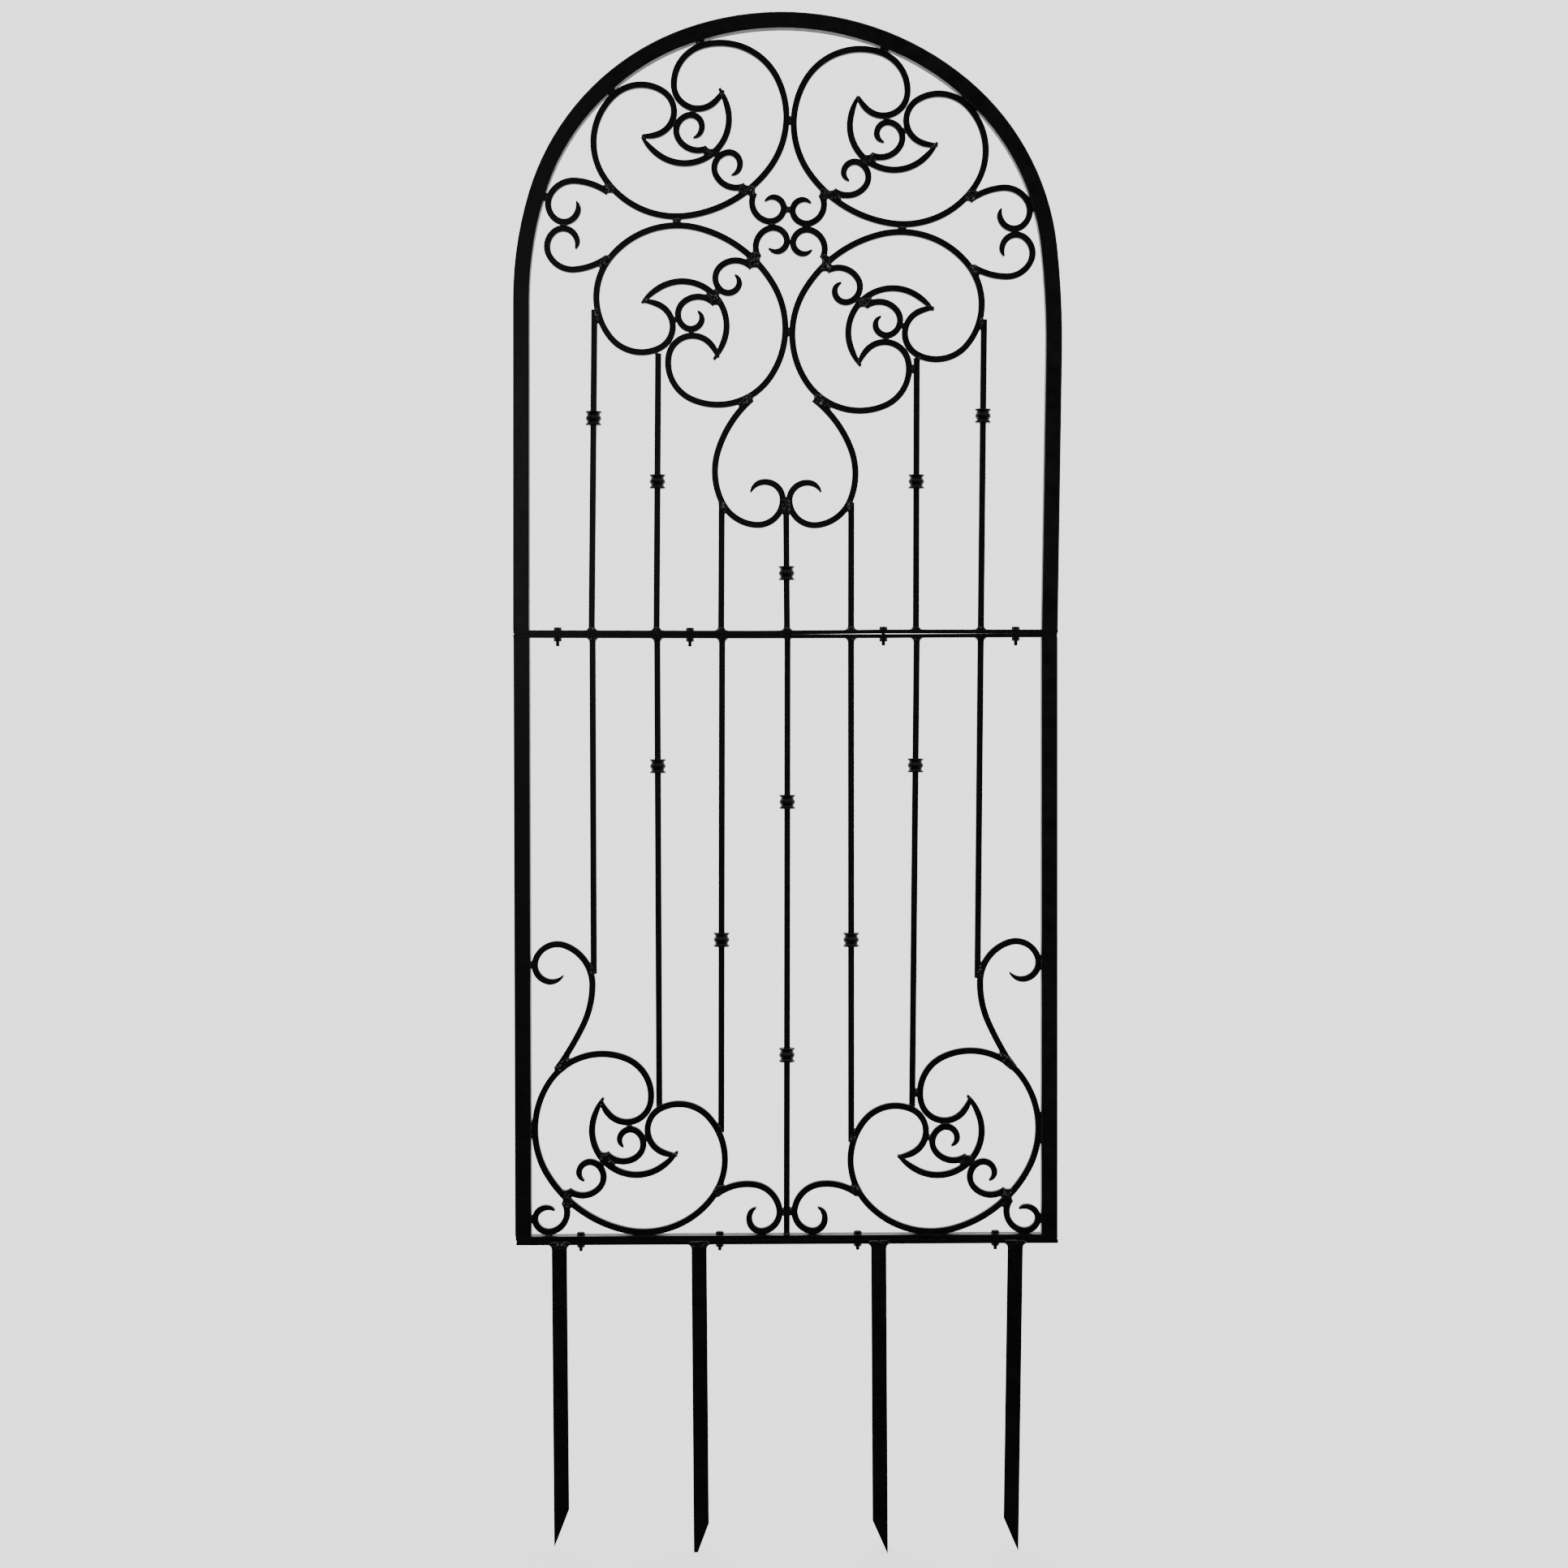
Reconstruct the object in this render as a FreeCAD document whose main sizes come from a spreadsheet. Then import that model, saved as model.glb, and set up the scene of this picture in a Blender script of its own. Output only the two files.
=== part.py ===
"""Metal trellis arch: two welded panels of square tube, flat bar, pickets and scrolls,
bolted to each other and to a base bar with four stakes.

Millimetres.  X runs across the trellis, -Y is the front, +Z is up.  The origin is on the ground,
under the middle of the stake bar, which lies on the ground once the stakes are driven in.
"""
import FreeCAD, Part
import math
import os

import Sketcher

V = FreeCAD.Vector

# ---------------------------------------------------------------- driving dimensions
SIZES = {
    # frame of 1 inch square tube and 1 inch flat bar
    "tube": 25.4,
    "tube_wall": 1.6,
    "tube_corner": 2.4,
    "middle_thick": 6.0,
    "base_thick": 6.6,
    "flat_depth": 25.4,
    "flat_chamfer": 1.2,
    # arch: distance of its left leg's outer face from the middle, the leg's straight length,
    # then the arcs of its outer face from left to right
    "arch_left": 432.9,
    "arch_leg": 523.2,
    "arch_radius_1": 588.5,
    "arch_sweep_1": 16.8,
    "arch_radius_2": 395.5,
    "arch_sweep_2": 53.6,
    "arch_radius_3": 459.5,
    "arch_sweep_3": 59.6,
    "arch_radius_4": 399.0,
    "arch_sweep_4": 43.9,
    "arch_radius_5": 1405.0,
    "arch_sweep_5": 7.0,
    # posts: distance of each outer face from the middle at its foot, and lean to the left
    "left_post_foot": 429.4,
    "left_post_lean": 0.17,
    "right_post_foot": 428.5,
    "right_post_lean": 0.0,
    # square bars
    "picket": 9.7,
    "scroll": 10.0,
    # collars on the pickets
    "collar_radius": 12.5,
    "collar_height": 22.0,
    "collar_flange": 2.4,
    "collar_waist": 10.4,
    "collar_bead": 4.2,
    "bead_bend": 5.4,
    "groove_bend": 3.0,
    # quarter inch hex fasteners
    "bolt_diameter": 6.35,
    "bolt_length": 25.4,
    "bolt_hole": 7.0,
    "head_flats": 11.1,
    "head_height": 4.8,
    "nut_height": 5.6,
    "crown_land": 5.3,
    # angle iron of the stakes
    "angle_leg": 24.0,
    "angle_thick": 3.2,
}

# Flat bars: X and height of the underside at each bend, from left to right.  The bars of the
# middle joint are drawn together by their bolts at the left and stand apart at the right.
BARS = {
    "upper_bottom_bar": [(-432.4, 964.9), (-50.0, 964.1), (60.0, 964.9), (150.0, 965.9),
                         (429.0, 966.0)],
    "lower_top_bar": [(-432.3, 958.7), (-50.0, 957.9), (150.0, 958.5), (240.0, 959.1),
                      (427.7, 959.8)],
    "lower_bottom_bar": [(-428.4, 5.1), (-135.0, 6.9), (428.3, 9.2)],
    "stake_bar": [(-427.5, -1.9), (429.2, 1.9)],
}

# Each scroll is a bar bent into tangent arcs that turn one way: radius and sweep of each arc
# along the middle of the bar, the sweep of its taper at the end of the last arc, the width of its
# tip, and the radius and sweep of the tighter curl in which its outer edge ends, if it has one.
SCROLL_SHAPES = {
    "heart": ([(193.5, 22.5), (136.5, 64.8), (101.0, 79.0), (63.5, 76.6), (38.2, 165.0)],
              38, 5.0, None),
    "crescent": ([(70.2, 99.0)], 30, 4.0, None),
    "tendril": ([(35.5, 90.0), (25.0, 100.0), (17.5, 107.0)], 47, 2.8, (15.3, 95.0)),
    "wide_tendril": ([(35.5, 90.0), (25.0, 100.0), (17.5, 138.0)], 48, 2.2, (16.0, 63.0)),
    "centre": ([(31.0, 102.0), (22.0, 94.5), (17.0, 84.0)], 42, 3.0, (16.7, 86.0)),
    "side": ([(102.5, 31.0), (42.0, 65.5), (30.5, 82.0), (22.0, 116.5)], 30, 2.4, (16.3, 64.9)),
    "pear": ([(180.0, 31.5), (111.0, 43.5), (64.0, 61.0), (39.7, 96.0), (27.5, 100.0)],
             47, 2.4, (22.0, 74.7)),
    "tall": ([(506.5, 9.0), (150.5, 26.0), (66.0, 69.8), (36.4, 90.3), (26.4, 97.0)],
             42, 2.4, (23.5, 80.0)),
    "corner": ([(31.0, 112.5), (22.0, 76.5), (17.4, 130.5)], 68, 2.7, (12.8, 52.8)),
    "foot": ([(80.0, 45.0), (47.0, 72.0), (30.5, 91.7), (19.2, 120.2)], 41, 2.0, (16.2, 67.0)),
}

# Hearts: middle of the heart's back, the way it opens in degrees above +X, the side on which its
# tendrils start (-1 left, +1 right, seen with the opening up), and their shape.
HEARTS = {
    "crown_left": (-87.0, 1650.8, 119.3, 1, "wide_tendril"),
    "crown_right": (93.0, 1641.8, 58.6, -1, "tendril"),
    "waist_left": (-70.8, 1574.6, 232.8, -1, "tendril"),
    "waist_right": (79.4, 1565.7, 306.4, 1, "tendril"),
    "base_left": (-326.1, 52.0, 54.6, -1, "tendril"),
    "base_right": (334.6, 59.7, 129.2, 1, "tendril"),
}
# Inside each heart, seen with the opening up: X, rise and turn of the middle of the crescent,
# then of the start of the inner tendril and of the tendril at the stem.
HEART_PARTS = {
    "crown_left": [(2.5, 79.8, 3.2), (7.2, 91.8, 175.3), (30.7, 10.6, 175.1)],
    "crown_right": [(0.6, 79.9, 1.2), (-8.8, 91.0, 4.5), (-29.3, 12.1, -6.6)],
    "waist_left": [(0.9, 83.6, -0.9), (-18.6, 95.4, -10.9), (-30.1, 13.6, -9.3)],
    "waist_right": [(3.3, 81.6, 1.1), (12.3, 92.9, 181.6), (27.2, 11.4, 173.7)],
    "base_left": [(-2.1, 83.8, -0.5), (-19.9, 96.8, -15.2), (-34.3, 14.4, -4.0)],
    "base_right": [(2.4, 82.1, 1.5), (11.7, 91.9, 177.9), (25.4, 12.3, 181.6)],
}

# The other scrolls: where each starts, its heading there in degrees above +X and the way it
# turns (+1 left, -1 right).
SCROLLS = {
    "centre_scrolls": [
        ("centre", -51.1, 1664.0, 241.5, 1),
        ("centre", 54.5, 1661.8, 301.9, -1),
        ("centre", -43.8, 1561.0, 123.5, -1),
        ("centre", 56.5, 1559.8, 61.0, 1),
    ],
    "left_side_scrolls": [("side", -282.8, 1664.5, 144.9, 1), ("side", -284.1, 1561.4, 215.8, -1)],
    "right_side_scrolls": [("side", 289.6, 1651.9, 36.7, -1), ("side", 295.5, 1546.4, 328.4, 1)],
    "left_pear_scroll": [("pear", -55.5, 1337.4, 221.3, 1)],
    "right_pear_scroll": [("pear", 43.1, 1337.2, 322.5, -1)],
    "left_tall_scroll": [("tall", -364.5, 274.7, 54.5, 1)],
    "right_tall_scroll": [("tall", 357.9, 279.7, 123.2, -1)],
    "corner_scrolls": [("corner", -352.9, 65.7, 303.5, -1), ("corner", 355.0, 70.0, 231.3, 1)],
    "foot_scrolls": [("foot", -110.8, 77.3, 37.2, -1), ("foot", 112.0, 77.9, 142.8, 1)],
}

# Pickets: X at the bar that carries each, its lean in degrees to the left going up, and the
# height of its free end, which is welded to a scroll.
UPPER_PICKETS = [
    (-308.95, -0.49, 1479.0), (-206.1, -0.33, 1409.5), (-103.8, -0.28, 1173.0),
    (0.5, 0.41, 1176.0), (102.0, -0.09, 1173.0), (204.85, -0.17, 1402.0),
    (307.65, -0.59, 1463.5),
]
LOWER_PICKETS = [
    (-307.6, 0.22, 426.5), (-205.1, 0.26, 217.0), (-102.3, -0.10, 176.0), (1.4, -0.08, 14.0),
    (102.0, 0.02, 160.5), (206.1, -0.56, 217.0), (307.5, -0.54, 420.0),
]
PICKETS = {"upper": UPPER_PICKETS, "lower": LOWER_PICKETS}
PICKET_BARS = {"upper": "upper_bottom_bar", "lower": "lower_top_bar"}
# Collars: number of the picket and height of the collar's middle.
COLLARS = {
    "upper": [(1, 1306.9), (2, 1206.6), (4, 1061.4), (6, 1206.6), (7, 1310.7)],
    "lower": [(2, 755.5), (3, 480.5), (4, 699.0), (4, 298.0), (5, 480.5), (6, 756.8)],
}

# Bolted joints: the upper bar, the lower bar and the X of each bolt.
JOINTS = {
    "middle": ("upper_bottom_bar", "lower_top_bar", [-363.0, -153.3, 153.3, 363.0]),
    "base": ("lower_bottom_bar", "stake_bar", [-326.0, -106.0, 112.5, 330.5]),
}

# Stakes: X at the bar, depths of the shoulder and of the tip, lean in degrees, width of the
# cut tip and side of the heel of the angle (-1 left, +1 right).
STAKES = [
    (-359.5, 417.9, 475.9, 0.5, 0.8, -1),
    (-138.5, 440.9, 486.4, 0.45, 6.5, -1),
    (145.5, 437.1, 489.1, 0.3, 0.8, 1),
    (361.5, 434.1, 485.6, -0.85, 0.8, 1),
]


def all_values():
    """Every driving dimension by its alias in the sheet."""
    values = dict(SIZES)
    for shape, (arcs, taper, tip, curl) in SCROLL_SHAPES.items():
        for number, (radius, sweep) in enumerate(arcs, 1):
            values[f"{shape}_radius_{number}"] = radius
            values[f"{shape}_sweep_{number}"] = sweep
        values[f"{shape}_taper"] = taper
        values[f"{shape}_tip"] = tip
        if curl:
            values.update({f"{shape}_curl_radius": curl[0], f"{shape}_curl_sweep": curl[1]})
    for name, stations in BARS.items():
        for number, (x, z) in enumerate(stations, 1):
            values.update({f"{name}_x{number}": x, f"{name}_z{number}": z})
    for name, (x, z, opens, _, _) in HEARTS.items():
        values.update({f"{name}_x": x, f"{name}_z": z, f"{name}_opens": opens})
        for part, (across, rise, turn) in zip(("crescent", "inner", "stem"), HEART_PARTS[name]):
            start = f"{name}_{part}"
            values.update({f"{start}_x": across, f"{start}_rise": rise, f"{start}_turn": turn})
    for name, scrolls in SCROLLS.items():
        for number, (_, x, z, heading, _) in enumerate(scrolls, 1):
            start = f"{name}_{number}"
            values.update({f"{start}_x": x, f"{start}_z": z, f"{start}_heading": heading})
    for panel, pickets in PICKETS.items():
        for number, (x, lean, end) in enumerate(pickets, 1):
            picket = f"{panel}_picket_{number}"
            values.update({f"{picket}_x": x, f"{picket}_lean": lean, f"{picket}_end": end})
        for number, (_, middle) in enumerate(COLLARS[panel], 1):
            values[f"{panel}_collar_{number}_z"] = middle
    for joint, (_, _, places) in JOINTS.items():
        for number, x in enumerate(places, 1):
            values[f"{joint}_bolt_{number}_x"] = x
    for number, (x, shoulder, tip, lean, cut, _) in enumerate(STAKES, 1):
        stake = f"stake_{number}"
        values.update({f"{stake}_x": x, f"{stake}_shoulder": shoulder, f"{stake}_tip": tip,
                       f"{stake}_lean": lean, f"{stake}_cut": cut})
    return values


VALUES = all_values()
DOC = FreeCAD.newDocument("TrellisArch")


def fill_sheet():
    sheet = DOC.addObject("Spreadsheet::Sheet", "Sizes")
    for row, (alias, value) in enumerate(VALUES.items(), 1):
        sheet.set(f"A{row}", alias)
        sheet.set(f"B{row}", str(value))
        sheet.setAlias(f"B{row}", alias)
    DOC.recompute()


# ---------------------------------------------------------------- helpers
def new_body(label):
    body = DOC.addObject("PartDesign::Body", label)
    body.Label = label
    body.AllowCompound = True
    return body


def origin_plane(body, role):
    for feature in body.Origin.OriginFeatures:
        if feature.Role == role:
            return feature


def new_sketch(body, name, plane):
    """A sketch on one of the body's own origin planes: XY_Plane, XZ_Plane or YZ_Plane."""
    sketch = body.newObject("Sketcher::SketchObject", name)
    sketch.AttachmentSupport = [(origin_plane(body, plane), "")]
    sketch.MapMode = "FlatFace"
    return sketch


def new_pad(body, sketch, length, both_ways=False):
    feature = body.newObject("PartDesign::Pad", f"{sketch.Name}_pad")
    feature.Profile = sketch
    feature.Midplane = both_ways
    feature.setExpression("Length", length)
    return feature


def new_pocket(body, sketch, both_ways=False):
    """Pocket right through the body."""
    feature = body.newObject("PartDesign::Pocket", f"{sketch.Name}_pocket")
    feature.Profile = sketch
    feature.Type = "ThroughAll"
    feature.Midplane = both_ways
    return feature


def spot(x="0", z="0", turn="0", y="0"):
    """Expression of a place; turn is in degrees, anticlockwise as seen from the front."""
    return f"placement(vector({x}; {y}; {z}); rotation(vector(0; -1; 0); {turn}))"


def place(thing, *spots):
    """Bind an object's place to one or more places, each given in the one before it."""
    thing.setExpression("Placement", " * ".join(spots))


def bar_thickness(bar):
    return "middle_thick" if bar in JOINTS["middle"] else "base_thick"


def underside(bar, x_text, x):
    """Expression of the height of a flat bar's underside at a place along it."""
    stations = BARS[bar]
    number = 1
    while number < len(stations) - 1 and x > stations[number][0]:
        number += 1
    left, right = (f"Sizes.{bar}_{{}}{place}" for place in (number, number + 1))
    rise = f"({right.format('z')} - {left.format('z')})"
    run = f"({right.format('x')} - {left.format('x')})"
    return f"({left.format('z')} + (({x_text}) - {left.format('x')}) * {rise} / {run})"


def top_side(bar, x_text, x):
    return f"({underside(bar, x_text, x)} + Sizes.{bar_thickness(bar)})"


class Outline:
    """Geometry and constraints of one sketch, added to it in one go."""

    def __init__(self, sketch):
        self.sketch = sketch
        self.geometry = []
        self.constraints = []
        self.expressions = {}

    def line(self, start, end):
        self.geometry.append(Part.LineSegment(V(*start, 0), V(*end, 0)))
        return len(self.geometry) - 1

    def arc(self, centre, radius, first, second):
        """Arc travelled from the first polar angle to the second, in radians."""
        circle = Part.Circle(V(*centre, 0), V(0, 0, 1), radius)
        self.geometry.append(Part.ArcOfCircle(circle, min(first, second), max(first, second)))
        return len(self.geometry) - 1

    def circle(self, centre, radius):
        self.geometry.append(Part.Circle(V(*centre, 0), V(0, 0, 1), radius))
        return len(self.geometry) - 1

    def rule(self, *values):
        self.constraints.append(Sketcher.Constraint(*values))

    def drive(self, expression, *values):
        """A constraint whose value follows an expression of the sheet."""
        constraint = Sketcher.Constraint(*values)
        constraint.Name = f"size_{len(self.expressions) + 1}"
        self.expressions[constraint.Name] = expression
        self.constraints.append(constraint)

    def finish(self):
        self.sketch.addGeometry(self.geometry)
        self.sketch.addConstraint(self.constraints)
        for name, expression in self.expressions.items():
            self.sketch.setExpression(f"Constraints.{name}", expression)
        return self.sketch


def on_circle(centre, radius, angle):
    return (centre[0] + radius * math.cos(angle), centre[1] + radius * math.sin(angle))


def polygon(outline, points):
    """Closed polygon; returns its lines, line i running from point i to the next."""
    count = len(points)
    lines = [outline.line(points[i], points[(i + 1) % count]) for i in range(count)]
    for i, line in enumerate(lines):
        outline.rule("Coincident", line, 2, lines[(i + 1) % count], 1)
    return lines


# ---------------------------------------------------------------- scrolls
class Scroll(Outline):
    """Outline of a scroll: a square cut start, two edges of tangent arcs and a tapered tip.

    x, y and heading of the start are expressions of the sheet with their present values;
    turn is 1 for a scroll that bends left as it goes and -1 for one that bends right.
    """

    def __init__(self, sketch, shape, x, y, heading, turn):
        super().__init__(sketch)
        self.shape = shape
        self.turn = turn
        self.x, self.y, self.heading = x, y, heading
        self.arcs, self.taper, self.tip, self.curl = SCROLL_SHAPES[shape]
        self.begin, self.end = (1, 2) if turn > 0 else (2, 1)

    def edge(self, sign, trim):
        """Edge of the bar, sign 1 outside the bend and -1 inside; trim leaves out the taper.

        Returns the first and last arc, the last centre and the polar angle of its far end.
        """
        heading = math.radians(self.heading[1])
        x, y = self.x[1], self.y[1]
        half = sign * VALUES["scroll"] / 2
        numbers = []
        for number, (radius, sweep) in enumerate(self.arcs, 1):
            span = math.radians(sweep)
            span_text = f"Sizes.{self.shape}_sweep_{number}"
            if trim and number == len(self.arcs):
                span -= math.radians(self.taper)
                span_text += f" - Sizes.{self.shape}_taper"
            centre = on_circle((x, y), radius, heading + self.turn * math.pi / 2)
            polar = heading - self.turn * math.pi / 2
            arc = self.arc(centre, radius + half, polar, polar + self.turn * span)
            rim_text = f"Sizes.{self.shape}_radius_{number} + {sign} * Sizes.scroll / 2"
            self.drive(rim_text, "Radius", arc, radius + half)
            self.drive(f"({span_text}) * 1 deg", "Angle", arc, span)
            if numbers:
                self.rule("Tangent", numbers[-1], self.end, arc, self.begin)
            numbers.append(arc)
            heading += self.turn * math.radians(sweep)
            polar = heading - self.turn * math.pi / 2
            x, y = on_circle(centre, radius, polar)
        return numbers[0], numbers[-1], centre, polar

    def cut_start(self, outer, inner):
        """The cut across the start of the bar, from its outer edge to its inner one."""
        heading = math.radians(self.heading[1])
        bar = VALUES["scroll"]
        middle = (self.x[1], self.y[1])
        outside = on_circle(middle, bar / 2, heading - self.turn * math.pi / 2)
        inside = on_circle(middle, bar / 2, heading + self.turn * math.pi / 2)
        cut = self.line(outside, inside)
        centre_line = self.line(middle, on_circle(middle, bar, heading))
        self.sketch_construction = centre_line
        self.rule("Perpendicular", cut, 1, outer, self.begin)
        self.rule("Perpendicular", cut, 2, inner, self.begin)
        self.drive("Sizes.scroll", "Distance", cut, bar)
        self.rule("Symmetric", cut, 1, cut, 2, centre_line, 1)
        self.rule("Perpendicular", centre_line, cut)
        self.drive("Sizes.scroll", "Distance", centre_line, bar)
        self.drive(self.x[0], "DistanceX", -1, 1, centre_line, 1, self.x[1])
        self.drive(self.y[0], "DistanceY", -1, 1, centre_line, 1, self.y[1])
        self.drive(f"({self.heading[0]}) * 1 deg", "Angle", centre_line, heading)

    def draw(self):
        outer_first, outer_last, centre, polar = self.edge(1, trim=False)
        inner_first, inner_last, _, _ = self.edge(-1, trim=True)
        self.cut_start(outer_first, inner_first)
        core = self.arcs[-1][0] - VALUES["scroll"] / 2
        taper_polar = polar - self.turn * math.radians(self.taper)
        taper_start = on_circle(centre, core, taper_polar)
        rim = self.arcs[-1][0] + VALUES["scroll"] / 2
        if self.curl:
            rim, sweep = self.curl
            outer_last, centre, polar = self.add_curl(outer_last, centre, polar, rim, sweep)
        tip_point = on_circle(centre, rim - self.tip, polar)
        tip = self.line(on_circle(centre, rim, polar), tip_point)
        self.rule("Perpendicular", outer_last, self.end, tip, 1)
        self.drive(f"Sizes.{self.shape}_tip", "Distance", tip, self.tip)
        taper = self.taper_arc(taper_start, taper_polar, tip_point)
        self.rule("Tangent", inner_last, self.end, taper, self.begin)
        self.rule("Coincident", taper, self.end, tip, 2)
        self.finish()
        self.sketch.setConstruction(self.sketch_construction, True)

    def add_curl(self, previous, centre, polar, radius, sweep):
        """Last, tighter bend of the outer edge; returns its arc, its centre and its far angle."""
        start = on_circle(centre, self.arcs[-1][0] + VALUES["scroll"] / 2, polar)
        span = math.radians(sweep)
        curl_centre = on_circle(start, radius, polar + math.pi)
        arc = self.arc(curl_centre, radius, polar, polar + self.turn * span)
        self.drive(f"Sizes.{self.shape}_curl_radius", "Radius", arc, radius)
        self.drive(f"Sizes.{self.shape}_curl_sweep * 1 deg", "Angle", arc, span)
        self.rule("Tangent", previous, self.end, arc, self.begin)
        return arc, curl_centre, polar + self.turn * span

    def taper_arc(self, start, polar, tip_point):
        """Arc that leaves the inner edge along its tangent and ends at the tip."""
        chord = (tip_point[0] - start[0], tip_point[1] - start[1])
        inward = -chord[0] * math.cos(polar) - chord[1] * math.sin(polar)
        onward = self.turn * (chord[1] * math.cos(polar) - chord[0] * math.sin(polar))
        radius = (chord[0] ** 2 + chord[1] ** 2) / (2 * inward)
        middle = on_circle(start, radius, polar + math.pi)
        return self.arc(middle, radius, polar, polar + self.turn * 2 * math.atan2(inward, onward))


def add_scroll(body, name, shape, x, y, heading, turn):
    """Pad one scroll in the body; x, y and heading are (expression, value) pairs."""
    sketch = new_sketch(body, name, "XZ_Plane")
    Scroll(sketch, shape, x, y, heading, turn).draw()
    return new_pad(body, sketch, "Sizes.scroll", both_ways=True)


def mirror_across_middle(body, feature):
    mirrored = body.newObject("PartDesign::Mirrored", f"{feature.Name}_mirrored")
    mirrored.Originals = [feature]
    mirrored.MirrorPlane = (origin_plane(body, "YZ_Plane"), [""])
    body.Tip = mirrored


def make_heart(name, side, tendril):
    """One heart ornament: its bent bar, the crescent in its lobes and its two tendrils."""
    heart_spot = spot(f"Sizes.{name}_x", f"Sizes.{name}_z", f"Sizes.{name}_opens - 90")
    zero = ("0", 0.0)
    heart = new_body(f"{name}_heart")
    mirror_across_middle(heart, add_scroll(heart, f"{name}_lobe", "heart", zero, zero, zero, 1))
    place(heart, heart_spot)

    crescent = new_body(f"{name}_crescent")
    half = add_scroll(crescent, f"{name}_horn", "crescent", zero, zero, zero, 1)
    mirror_across_middle(crescent, half)
    place(crescent, heart_spot, spot(*(f"Sizes.{name}_crescent_{key}" for key in ("x", "rise", "turn"))))

    tendrils = new_body(f"{name}_tendrils")
    for kind in ("inner", "stem"):
        start = [(f"Sizes.{name}_{kind}_{key}", VALUES[f"{name}_{kind}_{key}"])
                 for key in ("x", "rise", "turn")]
        add_scroll(tendrils, f"{name}_{kind}", tendril, *start, -side)
    place(tendrils, heart_spot)
    return [heart, crescent, tendrils]


def make_scrolls(name, scrolls):
    """One node of one or more single scrolls."""
    body = new_body(name)
    for number, (shape, x, z, heading, turn) in enumerate(scrolls, 1):
        start = f"Sizes.{name}_{number}"
        add_scroll(body, f"{name}_{number}", shape, (f"{start}_x", x), (f"{start}_z", z),
                   (f"{start}_heading", heading), turn)
    return [body]


# ---------------------------------------------------------------- tubes and flat bars
def rounded_square(outline, side, corner, side_text, corner_text):
    """A square with round corners about the sketch's origin."""
    half, flat = side / 2, side / 2 - corner
    first = len(outline.geometry)
    for quarter in range(4):
        angle = quarter * math.pi / 2
        start, end, centre = [
            (math.cos(angle) * x - math.sin(angle) * y, math.sin(angle) * x + math.cos(angle) * y)
            for x, y in ((half, -flat), (half, flat), (flat, flat))
        ]
        outline.line(start, end)
        outline.arc(centre, corner, angle, angle + math.pi / 2)
    lines = [first + 2 * quarter for quarter in range(4)]
    arcs = [first + 2 * quarter + 1 for quarter in range(4)]
    for quarter in range(4):
        outline.rule("Tangent", lines[quarter], 2, arcs[quarter], 1)
        outline.rule("Tangent", arcs[quarter], 2, lines[(quarter + 1) % 4], 1)
        outline.rule("Horizontal" if quarter % 2 else "Vertical", lines[quarter])
    outline.drive(corner_text, "Radius", arcs[0], corner)
    for arc in arcs[1:]:
        outline.rule("Equal", arcs[0], arc)
    outline.drive(side_text, "DistanceX", lines[2], 1, lines[0], 2, side)
    outline.drive(side_text, "DistanceY", lines[3], 1, lines[1], 2, side)
    outline.rule("Symmetric", arcs[0], 3, arcs[2], 3, -1, 1)


def tube_profile(body, name):
    """Section of the square tube, hollow, about the body's Z axis."""
    outline = Outline(new_sketch(body, name, "XY_Plane"))
    tube, wall, corner = (VALUES[key] for key in ("tube", "tube_wall", "tube_corner"))
    rounded_square(outline, tube, corner, "Sizes.tube", "Sizes.tube_corner")
    rounded_square(outline, tube - 2 * wall, corner - wall, "Sizes.tube - 2 * Sizes.tube_wall",
                   "Sizes.tube_corner - Sizes.tube_wall")
    return outline.finish()


def arch_path(body, rise_text, rise):
    """Middle line of the arch tube, from its left foot over the top to its right foot.

    rise is how much higher the right foot stands than the left one.
    """
    outline = Outline(new_sketch(body, "arch_path", "XZ_Plane"))
    leg = VALUES["arch_leg"]
    piece = outline.line((0, 0), (0, leg))
    outline.rule("Coincident", piece, 1, -1, 1)
    outline.rule("Vertical", piece)
    outline.drive("Sizes.arch_leg", "Distance", piece, leg)
    previous, previous_end = piece, 2
    x, y, heading = 0.0, leg, math.pi / 2
    for number in range(1, 6):
        radius = VALUES[f"arch_radius_{number}"] - VALUES["tube"] / 2
        sweep = math.radians(VALUES[f"arch_sweep_{number}"])
        centre = on_circle((x, y), radius, heading - math.pi / 2)
        arc = outline.arc(centre, radius, heading + math.pi / 2, heading + math.pi / 2 - sweep)
        outline.rule("Tangent", previous, previous_end, arc, 2)
        outline.drive(f"Sizes.arch_radius_{number} - Sizes.tube / 2", "Radius", arc, radius)
        outline.drive(f"Sizes.arch_sweep_{number} * 1 deg", "Angle", arc, sweep)
        previous, previous_end = arc, 1
        heading -= sweep
        x, y = on_circle(centre, radius, heading + math.pi / 2)
    foot = outline.line((x, y), (x - (y - rise) * math.cos(heading) / math.sin(heading), rise))
    outline.rule("Tangent", previous, previous_end, foot, 1)
    outline.drive(rise_text, "DistanceY", -1, 1, foot, 2, rise)
    return outline.finish()


def make_arch():
    body = new_body("upper_arch_tube")
    profile = tube_profile(body, "arch_section")
    bar = "upper_bottom_bar"
    (left, left_z), (right, right_z) = BARS[bar][0], BARS[bar][-1]
    left_text = "Sizes.tube / 2 - Sizes.arch_left"
    foot = top_side(bar, left_text, left)
    right_foot = top_side(bar, "Sizes.arch_left - Sizes.tube / 2", right)
    path = arch_path(body, f"{right_foot} - {foot}", right_z - left_z)
    pipe = body.newObject("PartDesign::AdditivePipe", "arch_pipe")
    pipe.Profile = profile
    pipe.Spine = (path, [f"Edge{number}" for number in range(1, path.GeometryCount + 1)])
    place(body, spot(left_text, foot))
    return [body]


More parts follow.
